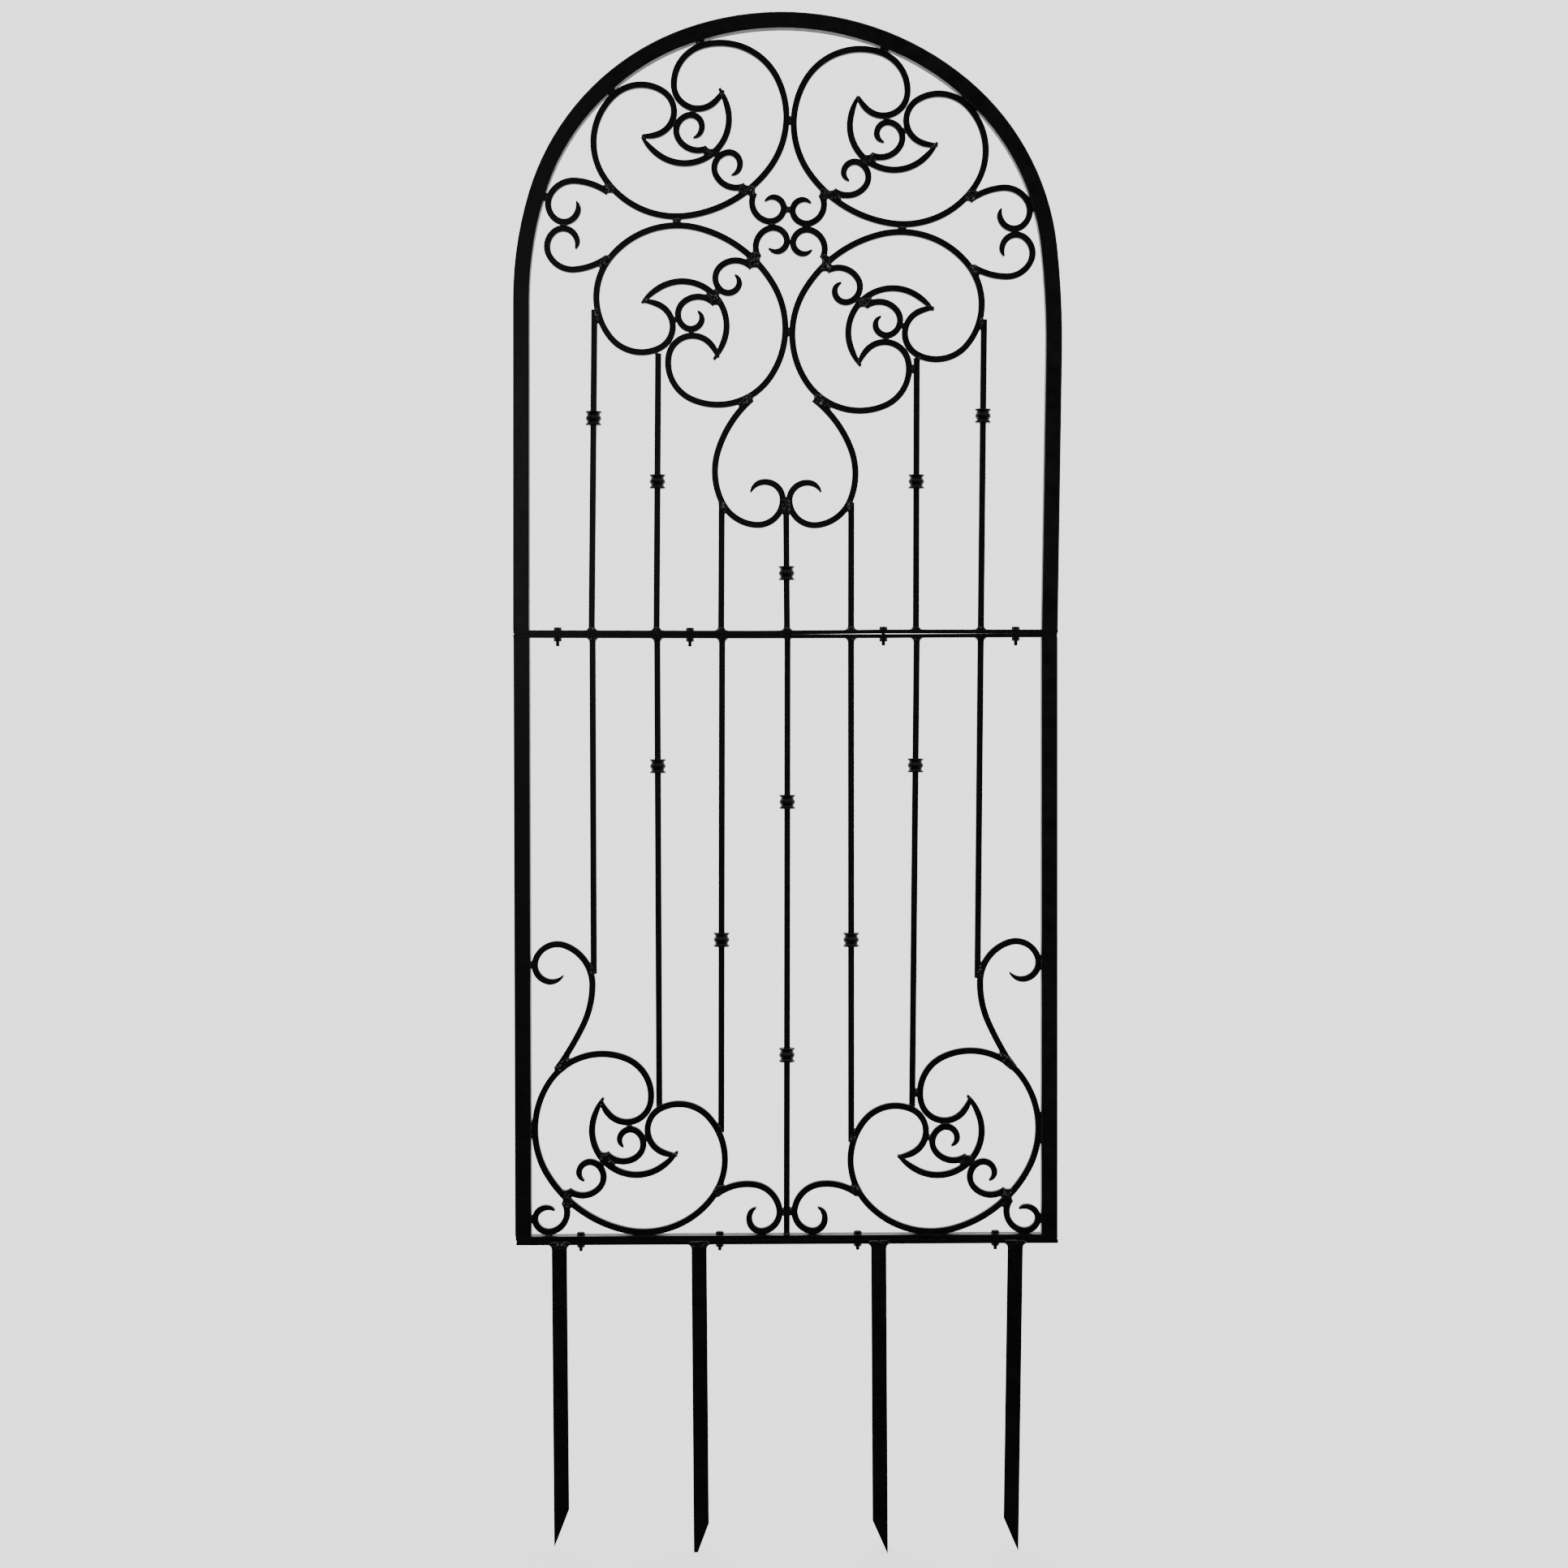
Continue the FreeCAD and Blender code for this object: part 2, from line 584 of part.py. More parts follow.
def make_posts():
    posts = []
    for side, sign in (("left", -1), ("right", 1)):
        name = f"lower_{side}_post"
        body = new_body(name)
        x = sign * (VALUES[f"{side}_post_foot"] - VALUES["tube"] / 2)
        x_text = f"{sign} * (Sizes.{side}_post_foot - Sizes.tube / 2)"
        foot = top_side("lower_bottom_bar", x_text, x)
        length = f"{underside('lower_top_bar', x_text, x)} - {foot}"
        new_pad(body, tube_profile(body, f"{name}_section"), length)
        place(body, spot(x_text, foot, f"Sizes.{side}_post_lean"))
        posts.append(body)
    return posts


def bar_side(body, name):
    """Side view of a flat bar: its underside through every bend, and its top above that."""
    outline = Outline(new_sketch(body, f"{name}_side", "XZ_Plane"))
    key = bar_thickness(name)
    low = BARS[name]
    high = [(x, z + VALUES[key]) for x, z in low]
    count = len(low)
    sides = polygon(outline, low + high[::-1])
    for number, (x, z) in enumerate(low, 1):
        foot, head = sides[number - 1], sides[2 * count - number]
        outline.drive(f"Sizes.{name}_x{number}", "DistanceX", -1, 1, foot, 1, x)
        outline.drive(f"Sizes.{name}_z{number}", "DistanceY", -1, 1, foot, 1, z)
        outline.rule("Vertical", foot, 1, head, 1)
        outline.drive(f"Sizes.{key}", "DistanceY", foot, 1, head, 1, VALUES[key])
    return outline.finish()


def bolt_holes(body, name, joint):
    outline = Outline(new_sketch(body, f"{name}_holes", "XY_Plane"))
    for number, x in enumerate(JOINTS[joint][-1], 1):
        hole = outline.circle((x, 0), VALUES["bolt_hole"] / 2)
        outline.drive("Sizes.bolt_hole / 2", "Radius", hole, VALUES["bolt_hole"] / 2)
        outline.rule("PointOnObject", hole, 3, -1)
        outline.drive(f"Sizes.{joint}_bolt_{number}_x", "DistanceX", -1, 1, hole, 3, x)
    return outline.finish()


def make_flat_bar(name, joint):
    """A flat bar lying across the trellis with a bolt hole at each place of its joint.

    The two ends are chamfered on the face that meets the other bar of the joint.
    """
    body = new_body(name)
    pad = new_pad(body, bar_side(body, name), "Sizes.flat_depth", both_ways=True)
    DOC.recompute()
    thick = VALUES[bar_thickness(name)] if name == JOINTS[joint][1] else 0.0
    corners = [V(x, 0, z + thick) for x, z in (BARS[name][0], BARS[name][-1])]
    edges = [f"Edge{number}" for number, edge in enumerate(pad.Shape.Edges, 1)
             if any((edge.CenterOfMass - corner).Length < 1e-6 for corner in corners)]
    chamfer = body.newObject("PartDesign::Chamfer", f"{name}_chamfer")
    chamfer.Base = (pad, edges)
    chamfer.setExpression("Size", "Sizes.flat_chamfer")
    new_pocket(body, bolt_holes(body, name, joint), both_ways=True)
    return [body]


# ---------------------------------------------------------------- pickets and collars
def picket_spot(panel, number):
    """Place of a picket's end at its bar, with its lean, and the height of that end."""
    name = f"Sizes.{panel}_picket_{number}"
    side = top_side if panel == "upper" else underside
    level = side(PICKET_BARS[panel], f"{name}_x", PICKETS[panel][number - 1][0])
    return spot(f"{name}_x", level, f"{name}_lean"), level


def make_pickets(panel):
    """Square bars standing on the upper panel's bar, or hanging from the lower panel's."""
    boxes = []
    for number in range(1, len(PICKETS[panel]) + 1):
        name = f"{panel}_picket_{number}"
        box = DOC.addObject("Part::Box", name)
        box.Label = name
        carried, level = picket_spot(panel, number)
        length = f"abs(Sizes.{name}_end - {level})"
        box.setExpression("Length", "Sizes.picket")
        box.setExpression("Width", "Sizes.picket")
        box.setExpression("Height", length)
        start = "0" if panel == "upper" else f"-{length}"
        place(box, carried, spot("-Sizes.picket / 2", start, y="-Sizes.picket / 2"))
        boxes.append(box)
    return boxes


def arc_between(outline, start, end, radius, side):
    """Arc from start to end whose centre lies to the left (side 1) or right (-1) of the way."""
    chord = (end[0] - start[0], end[1] - start[1])
    length = math.hypot(*chord)
    offset = side * math.sqrt(radius ** 2 - length ** 2 / 4) / length
    centre = ((start[0] + end[0]) / 2 - offset * chord[1], (start[1] + end[1]) / 2 + offset * chord[0])
    first = math.atan2(start[1] - centre[1], start[0] - centre[0])
    sweep = side * 2 * math.asin(length / (2 * radius))
    return outline.arc(centre, radius, first, first + sweep)


def collar_outline(body, name):
    """Half section of a collar: a flange at each end, a round bead and two grooves."""
    outline = Outline(new_sketch(body, name, "XZ_Plane"))
    radius, waist = VALUES["collar_radius"], VALUES["collar_waist"]
    half = VALUES["collar_height"] / 2
    rim, bead = half - VALUES["collar_flange"], VALUES["collar_bead"]
    lower = [(0, -half), (radius, -half), (radius, -rim), (waist, -bead)]
    upper = [(x, -y) for x, y in reversed(lower)]
    foot, low_rim = outline.line(lower[0], lower[1]), outline.line(lower[1], lower[2])
    low_groove = arc_between(outline, lower[2], lower[3], VALUES["groove_bend"], -1)
    middle = arc_between(outline, lower[3], upper[0], VALUES["bead_bend"], 1)
    high_groove = arc_between(outline, upper[0], upper[1], VALUES["groove_bend"], -1)
    high_rim, head = outline.line(upper[1], upper[2]), outline.line(upper[2], upper[3])
    axis = outline.line(upper[3], lower[0])
    joins = [(foot, 2, low_rim, 1), (low_rim, 2, low_groove, 2), (low_groove, 1, middle, 1),
             (middle, 2, high_groove, 2), (high_groove, 1, high_rim, 1), (high_rim, 2, head, 1),
             (head, 2, axis, 1), (axis, 2, foot, 1)]
    for join in joins:
        outline.rule("Coincident", *join)
    outline.rule("Horizontal", foot)
    outline.rule("Vertical", low_rim)
    outline.rule("Symmetric", foot, 1, head, 2, -1, 1)
    outline.rule("Symmetric", foot, 2, head, 1, -1)
    outline.rule("Symmetric", low_rim, 2, high_rim, 1, -1)
    outline.rule("PointOnObject", middle, 3, -1)
    outline.rule("Vertical", middle, 1, middle, 2)
    outline.rule("PointOnObject", foot, 1, -2)
    outline.drive("Sizes.collar_radius", "Distance", foot, radius)
    outline.drive("Sizes.collar_height", "Distance", axis, 2 * half)
    outline.drive("Sizes.collar_flange", "Distance", low_rim, half - rim)
    outline.drive("Sizes.collar_waist", "DistanceX", -1, 1, middle, 1, waist)
    outline.drive("-Sizes.collar_bead", "DistanceY", -1, 1, middle, 1, -bead)
    outline.drive("Sizes.bead_bend", "Radius", middle, VALUES["bead_bend"])
    for groove in (low_groove, high_groove):
        outline.drive("Sizes.groove_bend", "Radius", groove, VALUES["groove_bend"])
    return outline.finish()


def picket_hole(body, name):
    """Square of the picket's size about the body's Z axis."""
    outline = Outline(new_sketch(body, name, "XY_Plane"))
    half = VALUES["picket"] / 2
    sides = polygon(outline, [(-half, -half), (half, -half), (half, half), (-half, half)])
    for i, line in enumerate(sides):
        outline.rule("Vertical" if i % 2 else "Horizontal", line)
    outline.rule("Symmetric", sides[0], 1, sides[2], 1, -1, 1)
    for side in sides[:2]:
        outline.drive("Sizes.picket", "Distance", side, 2 * half)
    return outline.finish()


def make_collars(panel):
    """Turned collars on the pickets of one panel, each with a square hole, as one node."""
    bodies = []
    for number, (picket, _) in enumerate(COLLARS[panel], 1):
        name = f"{panel}_collar_{number}"
        body = new_body(name)
        turned = body.newObject("PartDesign::Revolution", f"{name}_turned")
        turned.Profile = collar_outline(body, f"{name}_section")
        turned.ReferenceAxis = (turned.Profile[0], ["V_Axis"])
        turned.Angle = 360
        new_pocket(body, picket_hole(body, f"{name}_hole"), both_ways=True)
        carried, level = picket_spot(panel, picket)
        place(body, carried, spot(z=f"Sizes.{name}_z - {level}"))
        bodies.append(body)
    return [group(f"{panel}_collars", bodies)]


def group(name, members):
    compound = DOC.addObject("Part::Compound", name)
    compound.Label = name
    compound.Links = members
    return compound


# ---------------------------------------------------------------- fasteners
def primitive(kind, name, z="0", **sizes):
    thing = DOC.addObject(f"Part::{kind}", name)
    for key, expression in sizes.items():
        thing.setExpression(key, expression)
    place(thing, spot(z=z))
    return thing


def crown(name, height, upward, foot):
    """The cone that rounds the corners off one end of a hexagon."""
    wide = f"Sizes.crown_land + {height} * sqrt(3)"
    radii = (wide, "Sizes.crown_land") if upward else ("Sizes.crown_land", wide)
    return primitive("Cone", name, foot, Radius1=radii[0], Radius2=radii[1], Height=height)


def hexagon(name, height, foot, rounded_foot):
    prism = primitive("Prism", f"{name}_prism", foot, Height=height,
                      Circumradius="Sizes.head_flats / sqrt(3)")
    members = [prism, crown(f"{name}_crown", height, True, foot)]
    if rounded_foot:
        members.append(crown(f"{name}_foot", height, False, foot))
    common = DOC.addObject("Part::MultiCommon", f"{name}_hexagon")
    common.Shapes = members
    return common


def make_bolt(name, x, seat):
    """Hex bolt, head up on the seat, with a bevelled point."""
    head = hexagon(name, "Sizes.head_height", "0", rounded_foot=False)
    bevel = "Sizes.bolt_diameter / 8"
    shank = primitive("Cylinder", f"{name}_shank", f"{bevel} - Sizes.bolt_length",
                      Radius="Sizes.bolt_diameter / 2", Height=f"Sizes.bolt_length - {bevel}")
    point = primitive("Cone", f"{name}_point", "-Sizes.bolt_length", Height=bevel,
                      Radius1=f"Sizes.bolt_diameter / 2 - {bevel}",
                      Radius2="Sizes.bolt_diameter / 2")
    bolt = DOC.addObject("Part::MultiFuse", name)
    bolt.Shapes = [head, shank, point]
    place(bolt, spot(x, seat))
    return bolt


def make_nut(name, x, seat):
    """Hex nut hanging under the seat."""
    height = "Sizes.nut_height"
    nut = DOC.addObject("Part::Cut", name)
    nut.Base = hexagon(name, height, f"-{height}", rounded_foot=True)
    nut.Tool = primitive("Cylinder", f"{name}_bore", f"-{height}", Height=height,
                         Radius="Sizes.bolt_diameter / 2")
    place(nut, spot(x, seat))
    return nut


def make_fasteners(joint):
    upper, lower, places = JOINTS[joint]
    bolts, nuts = [], []
    for number, x in enumerate(places, 1):
        x_text = f"Sizes.{joint}_bolt_{number}_x"
        bolts.append(make_bolt(f"{joint}_bolt_{number}", x_text, top_side(upper, x_text, x)))
        nuts.append(make_nut(f"{joint}_nut_{number}", x_text, underside(lower, x_text, x)))
    return [group(f"{joint}_bolts", bolts), group(f"{joint}_nuts", nuts)]


# ---------------------------------------------------------------- stakes
def make_stake(number, stake):
    """Length of angle iron, one leg across the front, cut slantwise towards the heel."""
    x, shoulder, tip, _, cut, heel = stake
    name = f"stake_{number}"
    body = new_body(name)
    leg, thick = VALUES["angle_leg"], VALUES["angle_thick"]
    front = -VALUES["flat_depth"] / 2
    near, web, far = heel * leg / 2, heel * (leg / 2 - thick), -heel * leg / 2
    section = Outline(new_sketch(body, f"{name}_section", "XY_Plane"))
    lines = polygon(section, [(near, front), (far, front), (far, front + thick),
                              (web, front + thick), (web, front + leg), (near, front + leg)])
    for i, line in enumerate(lines):
        section.rule("Vertical" if i % 2 else "Horizontal", line)
    section.drive("Sizes.angle_leg", "Distance", lines[0], leg)
    section.drive("Sizes.angle_leg", "Distance", lines[5], leg)
    section.drive("Sizes.angle_thick", "Distance", lines[1], thick)
    section.drive("Sizes.angle_thick", "Distance", lines[4], thick)
    section.drive(f"{heel} * Sizes.angle_leg / 2", "DistanceX", -1, 1, lines[0], 1, near)
    section.drive("-Sizes.flat_depth / 2", "DistanceY", -1, 1, lines[0], 1, front)
    bar = new_pad(body, section.finish(), f"Sizes.{name}_tip")
    bar.Reversed = True
    slant = Outline(new_sketch(body, f"{name}_slant", "XZ_Plane"))
    lines = polygon(slant, [(far, -shoulder), (near - heel * cut, -tip), (far, -tip)])
    slant.rule("Horizontal", lines[1])
    slant.rule("Vertical", lines[2])
    slant.drive(f"{-heel} * Sizes.angle_leg / 2", "DistanceX", -1, 1, lines[0], 1, far)
    slant.drive(f"-Sizes.{name}_shoulder", "DistanceY", -1, 1, lines[0], 1, -shoulder)
    slant.drive(f"-Sizes.{name}_tip", "DistanceY", -1, 1, lines[2], 1, -tip)
    slant.drive(f"Sizes.angle_leg - Sizes.{name}_cut", "Distance", lines[1], leg - cut)
    new_pocket(body, slant.finish(), both_ways=True)
    seat = underside("stake_bar", f"Sizes.{name}_x", x)
    place(body, spot(f"Sizes.{name}_x", seat, f"Sizes.{name}_lean"))
    return [body]


# ---------------------------------------------------------------- assembly
def build():
    """Every sub-part of the trellis, one object each."""
    fill_sheet()
    nodes = make_arch() + make_posts()
    for joint, (upper, lower, _) in JOINTS.items():
        nodes += make_flat_bar(upper, joint) + make_flat_bar(lower, joint) + make_fasteners(joint)
    for panel in PICKETS:
        nodes += make_pickets(panel) + make_collars(panel)
    for name, (_, _, _, side, tendril) in HEARTS.items():
        nodes += make_heart(name, side, tendril)
    for name, scrolls in SCROLLS.items():
        nodes += make_scrolls(name, scrolls)
    for number, stake in enumerate(STAKES, 1):
        nodes += make_stake(number, stake)
    DOC.recompute()
    return nodes


def check(nodes):
    """Stop if any object failed, or any sub-part has no sound shape."""
    for thing in DOC.Objects:
        if "Invalid" in thing.State or "Error" in thing.State:
            raise RuntimeError(f"{thing.Label} failed: {thing.State}")
        if thing.TypeId == "Sketcher::SketchObject" and not thing.FullyConstrained:
            raise RuntimeError(f"{thing.Label} isn't fully constrained")
    for node in nodes:
        if node.Shape.isNull() or not node.Shape.isValid() or not node.Shape.Solids:
            raise RuntimeError(f"{node.Label} has no valid solid")


def write(nodes):
    os.makedirs("parts", exist_ok=True)
    for node in nodes:
        node.Shape.exportStep(f"parts/{node.Label}.step")


NODES = build()
check(NODES)
write(NODES)
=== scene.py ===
"""Looks of the metal trellis arch: powder coated bars, welds, threaded bolts and a studio.

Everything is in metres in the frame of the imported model: X across, -Y the front, +Z up, with
the origin on the ground line in the middle of the trellis.
"""
import math

import bmesh
import bpy
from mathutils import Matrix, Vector, noise
from mathutils.bvhtree import BVHTree


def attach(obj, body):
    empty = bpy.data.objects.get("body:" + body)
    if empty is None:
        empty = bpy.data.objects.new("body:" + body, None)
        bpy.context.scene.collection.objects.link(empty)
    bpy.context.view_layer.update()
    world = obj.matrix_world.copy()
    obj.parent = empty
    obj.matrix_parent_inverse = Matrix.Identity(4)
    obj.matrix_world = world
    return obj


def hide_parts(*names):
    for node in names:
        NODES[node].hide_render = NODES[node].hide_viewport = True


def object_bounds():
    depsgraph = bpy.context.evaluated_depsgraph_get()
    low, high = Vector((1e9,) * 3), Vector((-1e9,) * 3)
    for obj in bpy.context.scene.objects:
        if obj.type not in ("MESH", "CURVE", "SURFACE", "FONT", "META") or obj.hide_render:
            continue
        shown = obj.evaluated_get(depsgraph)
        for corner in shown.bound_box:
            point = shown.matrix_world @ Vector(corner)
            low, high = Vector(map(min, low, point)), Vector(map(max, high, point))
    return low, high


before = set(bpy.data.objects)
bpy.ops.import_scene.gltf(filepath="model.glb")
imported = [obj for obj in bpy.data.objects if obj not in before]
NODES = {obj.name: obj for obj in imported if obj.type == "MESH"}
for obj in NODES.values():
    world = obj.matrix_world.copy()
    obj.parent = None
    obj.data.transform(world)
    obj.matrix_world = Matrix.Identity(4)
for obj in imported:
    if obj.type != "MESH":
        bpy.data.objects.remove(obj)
CAD_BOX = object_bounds()
MM = 0.001
INCH = 25.4 * MM

# CAD nodes by kind, whole names or the starts or ends of names
FASTENERS = ("middle_bolts", "middle_nuts", "base_bolts", "base_nuts")
BOLTS = ("middle_bolts", "base_bolts")
FLAT_BARS = ("upper_bottom_bar", "lower_top_bar", "lower_bottom_bar", "stake_bar")
TUBES = ("upper_arch_tube", "lower_left_post", "lower_right_post")
STANDING = ("upper_picket", "lower_picket", "upper_arch", "lower_left", "lower_right", "stake")
SCROLLS = ("tendrils", "scrolls", "scroll")
SCROLL_WIDTH = 10 * MM
ANGLE_THICK = 3.2 * MM      # of the angle iron that the stakes are made of

# Colours, each from dark patches to light ones
COAT_COLOURS = ((0.0035, 0.0035, 0.0038), (0.011, 0.011, 0.011))
ZINC_COLOURS = ((0.012, 0.012, 0.013), (0.075, 0.075, 0.08))

# CAD meshes
SAME_PLACE = 0.001 * MM     # vertices nearer than this are joined
ROUNDING = 0.2 * MM         # of sharp corners
SHARP = math.radians(40)    # corners sharper than this are rounded

# Bolts: 1/4 inch, 20 threads to the inch
BOLT_DIAMETER = INCH / 4
PITCH = INCH / 20
THREAD_DEPTH = 0.6 * PITCH
THREAD_STEPS = 24           # round the shank
PITCH_ROWS = 6              # rows of vertices to each turn
POINT_SIZE = 0.72           # radius of the end of the shank, as a share of the whole radius
CREST_FLAT = 1.3            # more than 1 cuts the thread's crests flat
HEAD_HEIGHT = 4.8 * MM
HEAD_STEPS = 48
HEAD_LAND = 0.95            # radius of the head's flat top, as a share of half its width
HEAD_INNER = 0.6            # radius of a ring within the flat top, as a share of the top's
HEAD_CHAMFER = 0.256        # drop of the chamfer at the corners, as a share of the height

# Where welds are: how far along a seam is looked at, and the widest gap that is welded
OUTLINE_STEP = 1.5 * MM
SEAM_BREAK = 8 * MM         # touching points farther apart than this are separate seams
FLAT_BAR_REACH = 3 * MM
PICKET_REACH = 2.6 * MM
SCROLL_REACH = 6.5 * MM

# How the square cut starts of scrolls are known, and the edges of a front face
SQUARE = math.radians(60)   # the corners of a cut are sharper than this
UPRIGHT = 0.99              # least rise along Y of the edge of a corner, for its length
WIDTH_SPARE = 0.5 * MM      # most that a cut's width is out
FRONT_DEPTH = 0.5 * MM      # edges no farther than this from the front belong to it

# Size of the fillet of each kind of weld
FOOT_FILLET = 8 * MM        # of what stands on a flat bar
FLAT_BAR_FILLET = 0.8 * MM
PICKET_FILLET = 3.2 * MM
CUT_FILLET = 6.5 * MM       # beside the square cut start of a scroll
SCROLL_FILLET = 2.4 * MM
CUT_LUMP = 1.2              # how much fuller a weld is beside a square cut start

# Shape of a weld
WELD_STEP = 0.8 * MM        # of its grid
SAME_GAP = 0.1 * MM         # gaps that differ by less than this are alike
CORE_SHARE = 0.7            # gaps up to this share of the fillet are in the core of a weld
BRIDGE_SHARE = 2.1          # least fillet across an open gap, for the width of the gap,
BRIDGE_SPARE = 0.6 * MM     # with this added to it
WEB_SPAN = 6.5 * MM         # half the length of a web across an open gap
LUMP_REACH = 10 * MM        # radius of the lump beside a square cut start
RIM_FULLNESS = 0.3          # fullness at which a weld has its whole thickness
PROUD = 0.7 * MM            # how far a weld stands proud of the bars, but for its lumps
RIPPLE_SIZE = 3.2 * MM
RIPPLE_HEIGHT = 0.6 * MM
WAVE_SIZE = 7.5 * MM
WAVE_HEIGHT = 0.9 * MM

# Studio
BACKDROP = 2.2              # how bright the backdrop is
FLOOR_LIGHT = 0.67          # brightness that the floor has from the world and the lamps
FLOOR_GAP = 0.5 * MM        # between the points of the stakes and the floor
FLOOR_HALF = 30             # half the width of the floor
# Area lights: name, place, width and height, watts
LAMPS = (("key", (-1.5, -4.6, 1.5), (0.9, 0.9), 8),
         ("fill", (2.8, -3.2, 1.1), (1.2, 1.6), 11))
# The world's light along an axis: the stretch that it changes over, and its two strengths
GLOWS = (("Y", (-0.3, 0.8), (0.03, 1.3)),
         ("Z", (0.35, 1.0), (0.0, 0.7)))

# Camera
CAMERA_PLACE = (-0.0042, -4.653, 0.8622)
SENSOR = 36
FOCAL_SHARE = 1.8722        # focal length as a share of the sensor's width
SHIFT_DOWN = 0.0543         # as a share of the frame's width


# ---------------------------------------------------------------- materials
class Nodes:
    """A new material, with short ways to add and join its shader nodes."""

    def __init__(self, name):
        self.material = bpy.data.materials.new(name)
        self.material.use_nodes = True
        self.tree = self.material.node_tree
        self.shader = self.tree.nodes["Principled BSDF"]

    def add(self, kind, **inputs):
        """A node with the given values in its inputs."""
        node = self.tree.nodes.new(f"ShaderNode{kind}")
        for name, value in inputs.items():
            node.inputs[name].default_value = value
        return node

    def join(self, source, target):
        self.tree.links.new(source, target)

    def feed(self, socket, source):
        """Let a node drive one of the shader's sockets."""
        self.join(source, self.shader.inputs[socket])

    def fix(self, socket, value):
        """One value all over for one of the shader's sockets."""
        self.shader.inputs[socket].default_value = value

    def place(self):
        """The point on the surface, in metres."""
        return self.add("TexCoord").outputs["Object"]

    def grain(self, size, detail=3.0, roughness=0.55):
        """Noise with lumps of the given size in metres."""
        texture = self.add("TexNoise", Scale=1 / size, Detail=detail, Roughness=roughness)
        self.join(self.place(), texture.inputs["Vector"])
        return texture.outputs["Fac"]

    def ramp(self, source, stops):
        """Colours or grey levels at two places of a value from 0 to 1."""
        ramp = self.add("ValToRGB")
        for element, (position, value) in zip(ramp.color_ramp.elements, stops):
            element.position = position
            element.color = (*value, 1) if isinstance(value, tuple) else (value,) * 3 + (1,)
        self.join(source, ramp.inputs["Fac"])
        return ramp.outputs["Color"]

    def bump(self, height, strength, distance, below=None):
        """Normals of a bumpy surface, on top of those of another if it is given."""
        node = self.add("Bump", Strength=strength, Distance=distance)
        self.join(height, node.inputs["Height"])
        if below:
            self.join(below, node.inputs["Normal"])
        return node.outputs["Normal"]


def powder_coat(name, patch_size, shiny, ior):
    """Black powder coat: fine orange peel over slow waves, with dull and shiny patches.

    shiny is the roughness of the shiny patches.
    """
    nodes = Nodes(name)
    dark, light = COAT_COLOURS
    dull = shiny + 0.16
    patches = nodes.grain(patch_size, detail=4.0, roughness=0.6)
    slow = nodes.grain(9 * MM, detail=2.0)
    fine = nodes.grain(1.3 * MM, detail=2.0)
    waves = nodes.bump(slow, strength=0.2, distance=0.4 * MM)
    peel = nodes.bump(fine, strength=0.12, distance=0.1 * MM, below=waves)
    nodes.feed("Base Color", nodes.ramp(patches, ((0.3, dark), (0.75, light))))
    nodes.feed("Roughness", nodes.ramp(patches, ((0.3, shiny), (0.7, dull))))
    nodes.feed("Normal", peel)
    nodes.fix("IOR", ior)
    nodes.fix("Coat Weight", 0.15)
    nodes.fix("Coat Roughness", 0.2)
    return nodes.material


def zinc(name):
    """Dark zinc plating, brighter and duller where it has been handled."""
    nodes = Nodes(name)
    dark, light = ZINC_COLOURS
    wear = nodes.grain(3 * MM, detail=4.0)
    pitting = nodes.grain(0.8 * MM)
    nodes.feed("Base Color", nodes.ramp(wear, ((0.35, dark), (0.7, light))))
    nodes.feed("Roughness", nodes.ramp(wear, ((0.3, 0.38), (0.7, 0.55))))
    nodes.feed("Normal", nodes.bump(pitting, strength=0.15, distance=0.05 * MM))
    nodes.fix("Metallic", 1.0)
    return nodes.material


COAT = powder_coat("powder_coat_black", patch_size=22 * MM, shiny=0.34, ior=1.42)
WELD_COAT = powder_coat("powder_coat_weld", patch_size=6 * MM, shiny=0.14, ior=1.9)
ZINC = zinc("zinc_dark")


# ---------------------------------------------------------------- meshes
def linked_object(name, builder, material):
    """An object in the scene made from a bmesh, which is freed."""
    mesh = bpy.data.meshes.new(name)
    builder.to_mesh(mesh)
    builder.free()
    mesh.materials.append(material)
    made = bpy.data.objects.new(name, mesh)
    bpy.context.scene.collection.objects.link(made)
    return made


def new_piece(name, builder, material):
    """A piece of the trellis made from a bmesh."""
    piece = linked_object(name, builder, material)
    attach(piece, "root")
    return piece


def islands(node):
    """The separate solids of a CAD node, each as a bmesh with its split edges joined.

    They come in the order of the node's vertices, which is the same on every run.
    """
    whole = bmesh.new()
    whole.from_mesh(NODES[node].data)
    bmesh.ops.remove_doubles(whole, verts=whole.verts, dist=SAME_PLACE)
    seen = set()
    parts = []
    for start in whole.verts:
        if start in seen:
            continue
        seen.add(start)
        part = bmesh.new()
        copies, front = {}, [start]
        while front:
            vertex = front.pop()
            copies[vertex] = part.verts.new(vertex.co)
            for edge in vertex.link_edges:
                other = edge.other_vert(vertex)
                if other not in seen:
                    seen.add(other)
                    front.append(other)
        for face in whole.faces:
            if face.verts[0] in copies:
                part.faces.new([copies[vertex] for vertex in face.verts])
        parts.append(part)
    whole.free()
    return parts


def corners(part):
    """Lowest and highest corner of a bmesh."""
    places = [vertex.co for vertex in part.verts]
    return (Vector([min(place[i] for place in places) for i in range(3)]),
            Vector([max(place[i] for place in places) for i in range(3)]))


def soften(piece):
    """Join a CAD node's split edges and round its corners, as modifiers."""
    weld = piece.modifiers.new("join", "WELD")
    weld.merge_threshold = SAME_PLACE
    bevel = piece.modifiers.new("round", "BEVEL")
    bevel.width = ROUNDING
    bevel.segments = 2
    bevel.limit_method = "ANGLE"
    bevel.angle_limit = SHARP
    bevel.harden_normals = True


def dress_nodes():
    """Finishes for the CAD nodes, and rounded corners for all but the tubes."""
    for name, piece in NODES.items():
        piece.data.materials.clear()
        piece.data.materials.append(ZINC if name in FASTENERS else COAT)
        if name not in TUBES:
            soften(piece)


